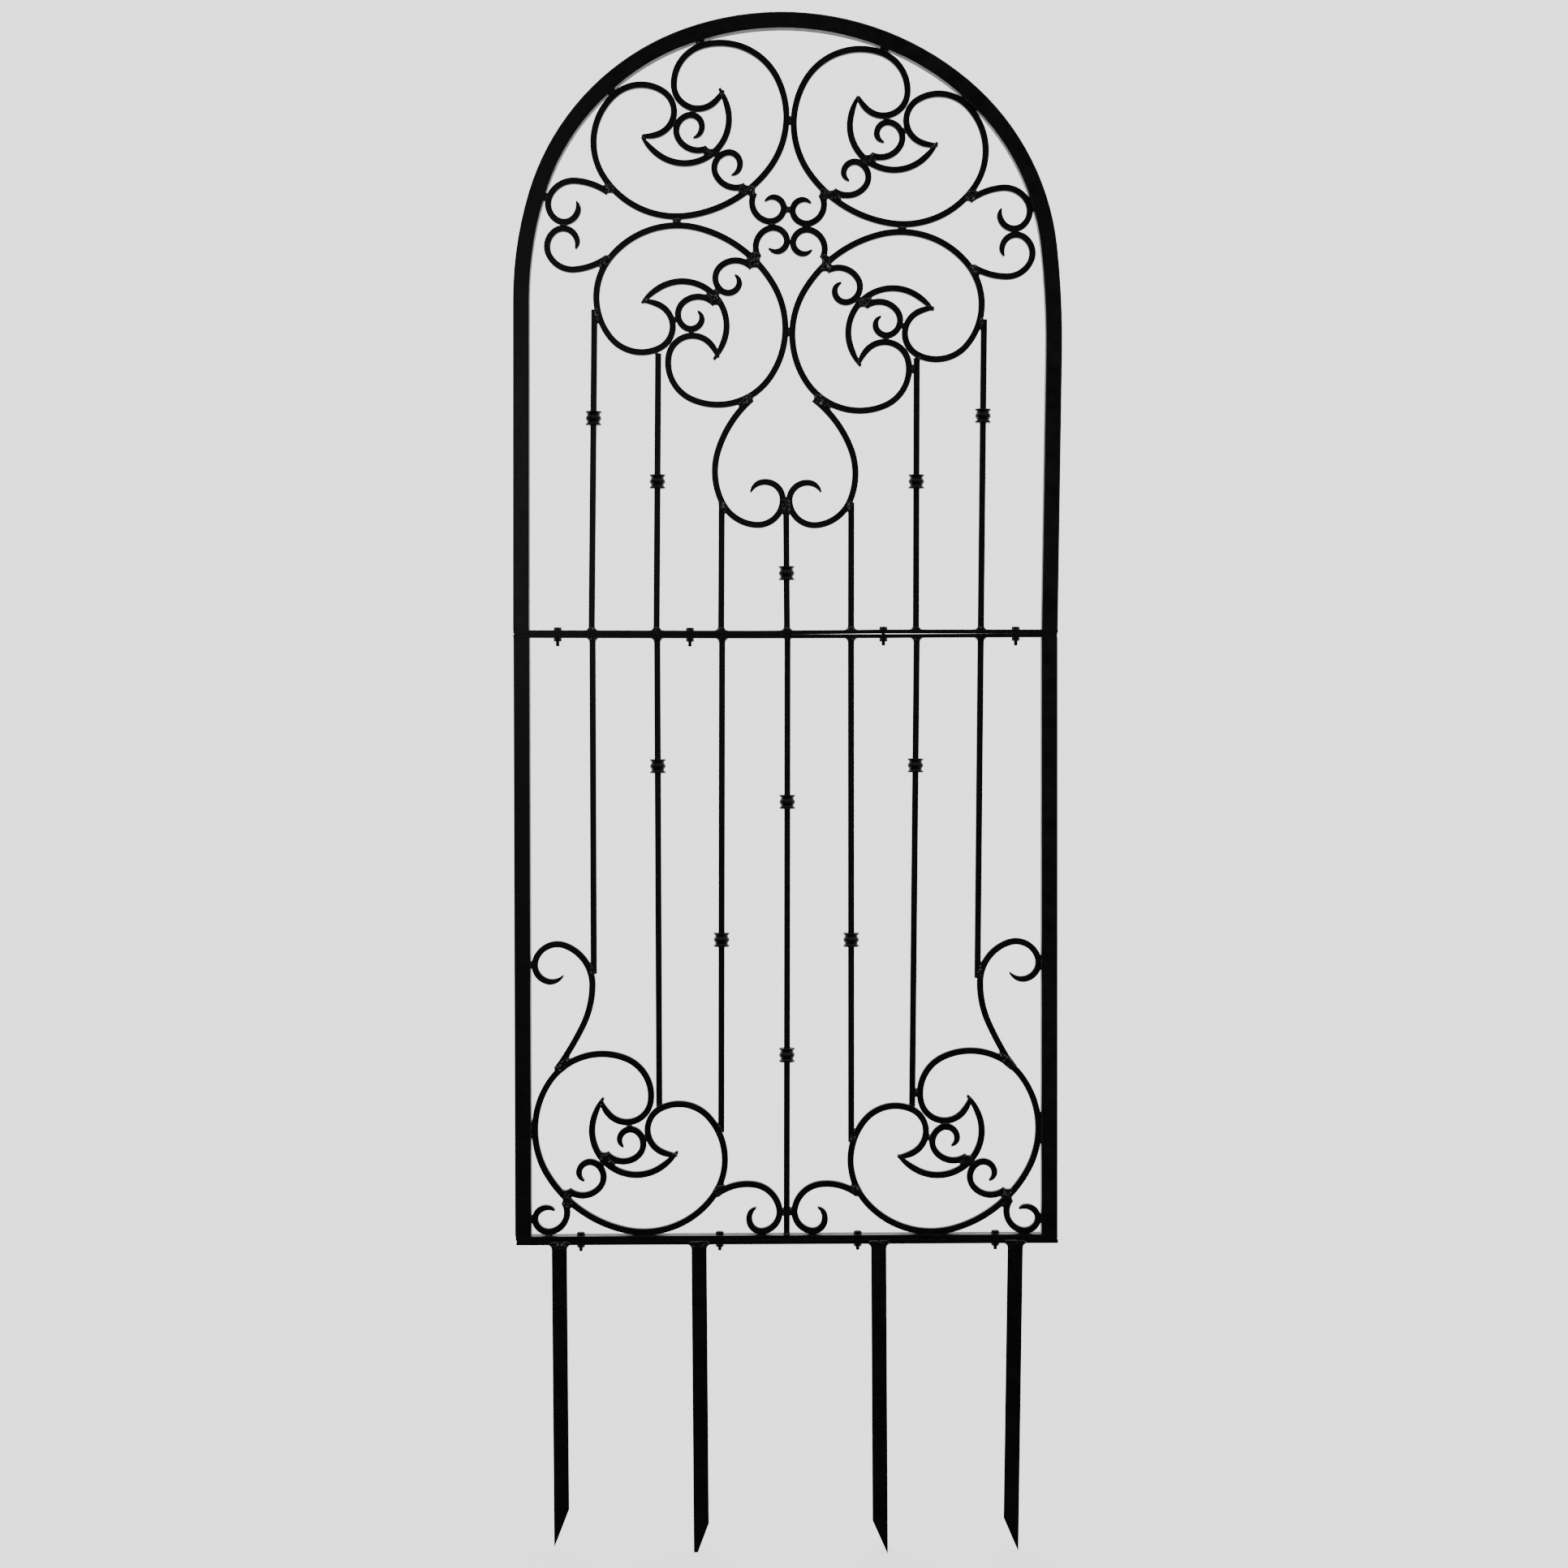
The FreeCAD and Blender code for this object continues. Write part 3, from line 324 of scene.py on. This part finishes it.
dress_nodes()


# ---------------------------------------------------------------- bolts
def ring_of_faces(builder, lower, upper, smooth):
    """Faces between two rings of vertices."""
    for step in range(len(lower)):
        after = (step + 1) % len(lower)
        face = builder.faces.new((lower[step], lower[after], upper[after], upper[step]))
        face.smooth = smooth


def threaded_shank(builder, centre_x, low, seat):
    """Threaded shank with a tapered point at its low end."""
    rows = []
    count = int((seat - low) / PITCH * PITCH_ROWS)
    for row in range(count + 1):
        z = low + (seat - low) * row / count
        turns = (z - low) / PITCH
        point = min(1, POINT_SIZE + turns * (1 - POINT_SIZE))
        ring = []
        for step in range(THREAD_STEPS):
            angle = 2 * math.pi * step / THREAD_STEPS
            phase = (turns - step / THREAD_STEPS) % 1
            crest = min(1, (1 - abs(2 * phase - 1)) * CREST_FLAT)
            radius = point * (BOLT_DIAMETER / 2 - THREAD_DEPTH * (1 - crest))
            ring.append(builder.verts.new((centre_x + radius * math.cos(angle),
                                           radius * math.sin(angle), z)))
        rows.append(ring)
    for lower, upper in zip(rows, rows[1:]):
        ring_of_faces(builder, lower, upper, True)
    builder.faces.new(list(reversed(rows[0])))


def hex_head(builder, centre_x, low, high, flats):
    """Six sided head whose top corners are cut by a cone."""
    chamfer = HEAD_CHAMFER * (high - low)
    land = flats / 2 * HEAD_LAND
    corner = flats / 2 / math.cos(math.pi / 6)
    rings = [[] for _ in range(4)]
    for step in range(HEAD_STEPS):
        angle = 2 * math.pi * step / HEAD_STEPS
        within = angle % (math.pi / 3) - math.pi / 6
        side = flats / 2 / math.cos(within)
        drop = chamfer * (side - land) / (corner - land)
        for ring, (radius, z) in zip(rings, ((side, low), (side, high - drop), (land, high),
                                             (land * HEAD_INNER, high))):
            ring.append(builder.verts.new((centre_x + radius * math.cos(angle),
                                           radius * math.sin(angle), z)))
    for lower, upper in zip(rings, rings[1:]):
        ring_of_faces(builder, lower, upper, False)
    builder.faces.new(list(reversed(rings[0])))
    builder.faces.new(rings[-1])


def make_bolts(node):
    """Bolts with real threads in place of a node's plain ones, standing point down."""
    builder = bmesh.new()
    for part in islands(node):
        low, high = corners(part)
        part.free()
        centre_x = (low.x + high.x) / 2
        seat = high.z - HEAD_HEIGHT
        threaded_shank(builder, centre_x, low.z, seat)
        hex_head(builder, centre_x, seat, high.z, high.y - low.y)
    bolts = new_piece(f"{node}_threaded", builder, ZINC)
    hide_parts(node)


for bolt_node in BOLTS:
    make_bolts(bolt_node)


# ---------------------------------------------------------------- where welds are
def square_cuts(part, front):
    """Middles of the cut starts of scrolls: each a bar's width between two sharp corners."""
    sharp = []
    for edge in part.edges:
        first, last = (vertex.co for vertex in edge.verts)
        upright = abs(first.y - last.y) > UPRIGHT * (first - last).length
        if upright and edge.is_manifold and edge.calc_face_angle() > SQUARE:
            sharp.append(Vector((first.x, front, first.z)))
    return [(first + last) / 2 for number, first in enumerate(sharp) for last in sharp[:number]
            if abs((first - last).length - SCROLL_WIDTH) < WIDTH_SPARE]


class Item:
    """One solid of the CAD, ready to be asked how near a point is."""

    def __init__(self, node, part):
        self.node = node
        self.part = part
        self.low, self.high = corners(part)
        self.tree = BVHTree.FromBMesh(part)
        self.cuts = square_cuts(part, self.low.y) if node.endswith(SCROLLS) else []

    def near(self, other, reach):
        """Whether the boxes of two solids are nearer than reach."""
        return all(self.low[i] - reach < other.high[i] and other.low[i] - reach < self.high[i]
                   for i in range(3))

    def outline(self):
        """Points along the edges of its front face."""
        for edge in self.part.edges:
            first, last = (vertex.co for vertex in edge.verts)
            if max(first.y, last.y) > self.low.y + FRONT_DEPTH or not edge.is_contiguous:
                continue
            count = max(1, round((last - first).length / OUTLINE_STEP))
            for number in range(count):
                yield first.lerp(last, number / count)

    def gap(self, place):
        """How far a point is from the solid, nothing if it is inside."""
        nearest, normal, _, distance = self.tree.find_nearest(place)
        return 0.0 if (place - nearest).dot(normal) < 0 else distance


def welded_items():
    """Every solid that is welded, small ones first: all but the fasteners and the collars."""
    items = []
    for node in NODES:
        if node in FASTENERS or node.endswith("collars"):
            continue
        for part in islands(node):
            part.normal_update()
            items.append(Item(node, part))
    return sorted(items, key=lambda item: (item.high - item.low).length)


def seams_between(one, other, reach):
    """Where two solids touch or nearly touch: lists of (gap, place), one for each seam."""
    hits = []
    for place in one.outline():
        if any(place[i] < other.low[i] - reach or place[i] > other.high[i] + reach
               for i in (0, 2)):
            continue
        middle = Vector((place.x, max(other.low.y, min(place.y, other.high.y)), place.z))
        gap = other.gap(middle)
        if gap < reach:
            hits.append((gap, place))
    seams = []
    for hit in hits:
        joined = [seam for seam in seams
                  if any((near[1] - hit[1]).length < SEAM_BREAK for near in seam)]
        seams = [seam for seam in seams if seam not in joined]
        seams.append([hit] + [member for seam in joined for member in seam])
    return seams


def weld_reach(one, other):
    """Widest gap that gets welded between two solids."""
    if other.node in FLAT_BARS:
        return FLAT_BAR_REACH
    return PICKET_REACH if "picket" in one.node + other.node else SCROLL_REACH


def weld_fillet(one, other, seam):
    """Size and lump of the weld along a seam: large where a scroll is welded by its cut start."""
    if other.node in FLAT_BARS:
        return FOOT_FILLET if one.node.startswith(STANDING) else FLAT_BAR_FILLET, 0
    if "picket" in one.node + other.node:
        return PICKET_FILLET, 0
    if any((place - cut).length < SCROLL_WIDTH for cut in one.cuts + other.cuts
           for _, place in seam):
        return CUT_FILLET, CUT_LUMP
    return SCROLL_FILLET, 0


# ---------------------------------------------------------------- shape of a weld
class Weld:
    """Weld metal that fills the corner between two solids along a seam.

    Seen from the front it is bounded by a concave fillet from one solid to the other, with a
    round lump about the nearest points if lump is more than nothing. Its skin stands a little
    proud of their faces, more in some places than in others, and comes down to their middle at
    the weld's rim. The weld is a grid of cells, each with a front and a back.
    """

    def __init__(self, one, other, seam, seed):
        self.solids = (one, other)
        self.seed = seed
        self.half = min(item.high.y - item.low.y for item in self.solids) / 2
        self.middle_y = (one.high.y + one.low.y) / 2
        if one.node.startswith("stake"):
            self.half = ANGLE_THICK / 2
            self.middle_y = one.low.y + self.half
        fillet, self.lump = weld_fillet(one, other, seam)
        closest = min(gap for gap, _ in seam)
        bridge = BRIDGE_SHARE * closest + BRIDGE_SPARE
        self.span = WEB_SPAN if bridge > fillet else math.inf
        self.fillet = max(fillet, bridge)
        nearest = [place for gap, place in seam if gap < closest + SAME_GAP]
        self.centre = sum(nearest, Vector()) / len(nearest)
        widest = max(CORE_SHARE * self.fillet, closest + 2 * SAME_GAP)
        self.lay_grid([place for gap, place in seam if gap <= widest])

    def lay_grid(self, core):
        """A grid over the seam's core, and the cells of it that are wholly in the weld."""
        margin = self.fillet + 2 * WELD_STEP
        self.low_x, self.low_z = (min(place[i] for place in core) - margin for i in (0, 2))
        high_x, high_z = (max(place[i] for place in core) + margin for i in (0, 2))
        columns = int((high_x - self.low_x) / WELD_STEP) + 2
        rows = int((high_z - self.low_z) / WELD_STEP) + 2
        self.grid = [[self.fullness(*self.place(column, row)) for row in range(rows)]
                     for column in range(columns)]
        self.cells = {(column, row) for column in range(columns - 1) for row in range(rows - 1)
                      if min(self.grid[column + i][row + j] for i in (0, 1) for j in (0, 1)) > 0}

    def place(self, column, row):
        """Where a grid point is, across and up."""
        return self.low_x + column * WELD_STEP, self.low_z + row * WELD_STEP

    def fullness(self, x, z):
        """Above nothing inside the weld, and more towards its middle."""
        place = Vector((x, self.middle_y, z))
        off = math.hypot(x - self.centre.x, z - self.centre.z)
        webs = sum(max(0.0, 1 - solid.gap(place) / self.fillet) ** 2 for solid in self.solids)
        beyond = max(0.0, off / self.span - 1)
        return webs - 1 - beyond + self.lump * max(0.0, 1 - off / LUMP_REACH)

    def slope(self, column, row):
        """How the fullness changes across and up, per metre."""
        left, right = max(0, column - 1), min(len(self.grid) - 1, column + 1)
        below, above = max(0, row - 1), min(len(self.grid[0]) - 1, row + 1)
        return ((self.grid[right][row] - self.grid[left][row]) / ((right - left) * WELD_STEP),
                (self.grid[column][above] - self.grid[column][below])
                / ((above - below) * WELD_STEP))

    def thickness(self, x, z, full):
        """Half the weld's thickness at a point with the given fullness."""
        ripple = noise.noise(Vector((x, self.seed, z)) / RIPPLE_SIZE)
        wave = noise.noise(Vector((x, self.seed, z)) / WAVE_SIZE)
        proud = PROUD + RIPPLE_HEIGHT * ripple + WAVE_HEIGHT * wave
        edge = 1 - min(1.0, full / RIM_FULLNESS)
        return (self.half + proud) * math.sqrt(1 - edge ** 2)

    def vertices(self, builder, column, row):
        """The front and back vertex of a grid point, one and the same on the rim.

        A point on the rim is moved outward, to where the fullness is nothing.
        """
        x, z = self.place(column, row)
        full = self.grid[column][row]
        if all((column - i, row - j) in self.cells for i in (0, 1) for j in (0, 1)):
            thick = self.thickness(x, z, full)
            return [builder.verts.new((x, self.middle_y + side * thick, z)) for side in (-1, 1)]
        across, up = self.slope(column, row)
        shift = min(full / max(math.hypot(across, up), 1e-6), WELD_STEP)
        turn = math.atan2(-up, -across)
        return [builder.verts.new((x + shift * math.cos(turn), self.middle_y,
                                   z + shift * math.sin(turn)))] * 2

    def build(self, builder):
        """Add the front and back of every cell to a bmesh."""
        made = {}
        for column, row in self.cells:
            pairs = []
            for point in ((column, row), (column + 1, row), (column + 1, row + 1),
                          (column, row + 1)):
                if point not in made:
                    made[point] = self.vertices(builder, *point)
                pairs.append(made[point])
            for side, order in ((0, 1), (1, -1)):
                if side == 0 or any(front is not back for front, back in pairs):
                    face = builder.faces.new([pair[side] for pair in pairs][::order])
                    face.smooth = True


def make_welds():
    """A weld wherever two bars of a panel touch, but for flat bars, which are bolted."""
    builder = bmesh.new()
    items = welded_items()
    seed = 0
    for number, one in enumerate(items):
        for other in items[number + 1:]:
            reach = weld_reach(one, other)
            bolted = one.node in FLAT_BARS and other.node in FLAT_BARS
            if bolted or not one.near(other, reach):
                continue
            for seam in seams_between(one, other, reach):
                seed += 1
                Weld(one, other, seam, seed).build(builder)
    new_piece("weld_beads", builder, WELD_COAT)


make_welds()


# ---------------------------------------------------------------- studio
def area_light(name, place, size, power, target):
    """Soft rectangular lamp aimed at a point."""
    data = bpy.data.lights.new(name, "AREA")
    data.shape = "RECTANGLE"
    data.size, data.size_y = size
    data.energy = power
    light = bpy.data.objects.new(name, data)
    bpy.context.scene.collection.objects.link(light)
    light.location = place
    light.visible_camera = False
    light.rotation_euler = (target - Vector(place)).to_track_quat("-Z", "Y").to_euler()


def make_floor(level):
    """A large pale floor, as bright as the backdrop, that throws no light at the trellis."""
    pale = Nodes("floor_pale")
    pale.fix("Base Color", (0.8, 0.8, 0.8, 1))
    pale.fix("Roughness", 1.0)
    pale.fix("Specular IOR Level", 0.0)
    pale.fix("Emission Color", (1, 1, 1, 1))
    pale.fix("Emission Strength", BACKDROP - FLOOR_LIGHT)
    builder = bmesh.new()
    bmesh.ops.create_grid(builder, x_segments=1, y_segments=1, size=FLOOR_HALF)
    floor = linked_object("floor", builder, pale.material)
    floor.location = (0, 0, level)
    floor.visible_glossy = False
    floor.visible_diffuse = False


def make_world():
    """Soft light from behind, above and the sides, and hardly any from the front."""
    world = bpy.data.worlds.new("studio")
    world.use_nodes = True
    tree = world.node_tree
    glow = tree.nodes["Background"]
    backdrop = tree.nodes.new("ShaderNodeBackground")
    backdrop.inputs["Strength"].default_value = BACKDROP
    for background in (glow, backdrop):
        background.inputs["Color"].default_value = (1, 1, 1, 1)
    direction = tree.nodes.new("ShaderNodeTexCoord").outputs["Generated"]
    axes = tree.nodes.new("ShaderNodeSeparateXYZ")
    tree.links.new(direction, axes.inputs["Vector"])
    total = tree.nodes.new("ShaderNodeMath")
    total.operation = "ADD"
    for number, (axis, stretch, strengths) in enumerate(GLOWS):
        spread = tree.nodes.new("ShaderNodeMapRange")
        spread.interpolation_type = "SMOOTHSTEP"
        for key, value in zip(("From Min", "From Max", "To Min", "To Max"), stretch + strengths):
            spread.inputs[key].default_value = value
        tree.links.new(axes.outputs[axis], spread.inputs["Value"])
        tree.links.new(spread.outputs["Result"], total.inputs[number])
    tree.links.new(total.outputs["Value"], glow.inputs["Strength"])
    seen = tree.nodes.new("ShaderNodeLightPath").outputs["Is Camera Ray"]
    mix = tree.nodes.new("ShaderNodeMixShader")
    tree.links.new(seen, mix.inputs["Fac"])
    tree.links.new(glow.outputs["Background"], mix.inputs[1])
    tree.links.new(backdrop.outputs["Background"], mix.inputs[2])
    tree.links.new(mix.outputs["Shader"], tree.nodes["World Output"].inputs["Surface"])
    bpy.context.scene.world = world


def make_studio():
    """The floor, the world's light and the lamps, which are aimed at the trellis's middle."""
    low, high = (Vector(corner) for corner in CAD_BOX)
    make_floor(low.z - FLOOR_GAP)
    make_world()
    for name, place, size, power in LAMPS:
        area_light(name, place, size, power, (low + high) / 2)


def make_camera():
    """Level camera in front, its axis at the height of the photograph's horizon."""
    data = bpy.data.cameras.new("camera")
    data.sensor_width = SENSOR
    data.lens = SENSOR * FOCAL_SHARE
    data.shift_y = -SHIFT_DOWN
    camera = bpy.data.objects.new("camera", data)
    bpy.context.scene.collection.objects.link(camera)
    camera.location = CAMERA_PLACE
    camera.rotation_euler = (math.pi / 2, 0, 0)
    bpy.context.scene.camera = camera


make_studio()
make_camera()
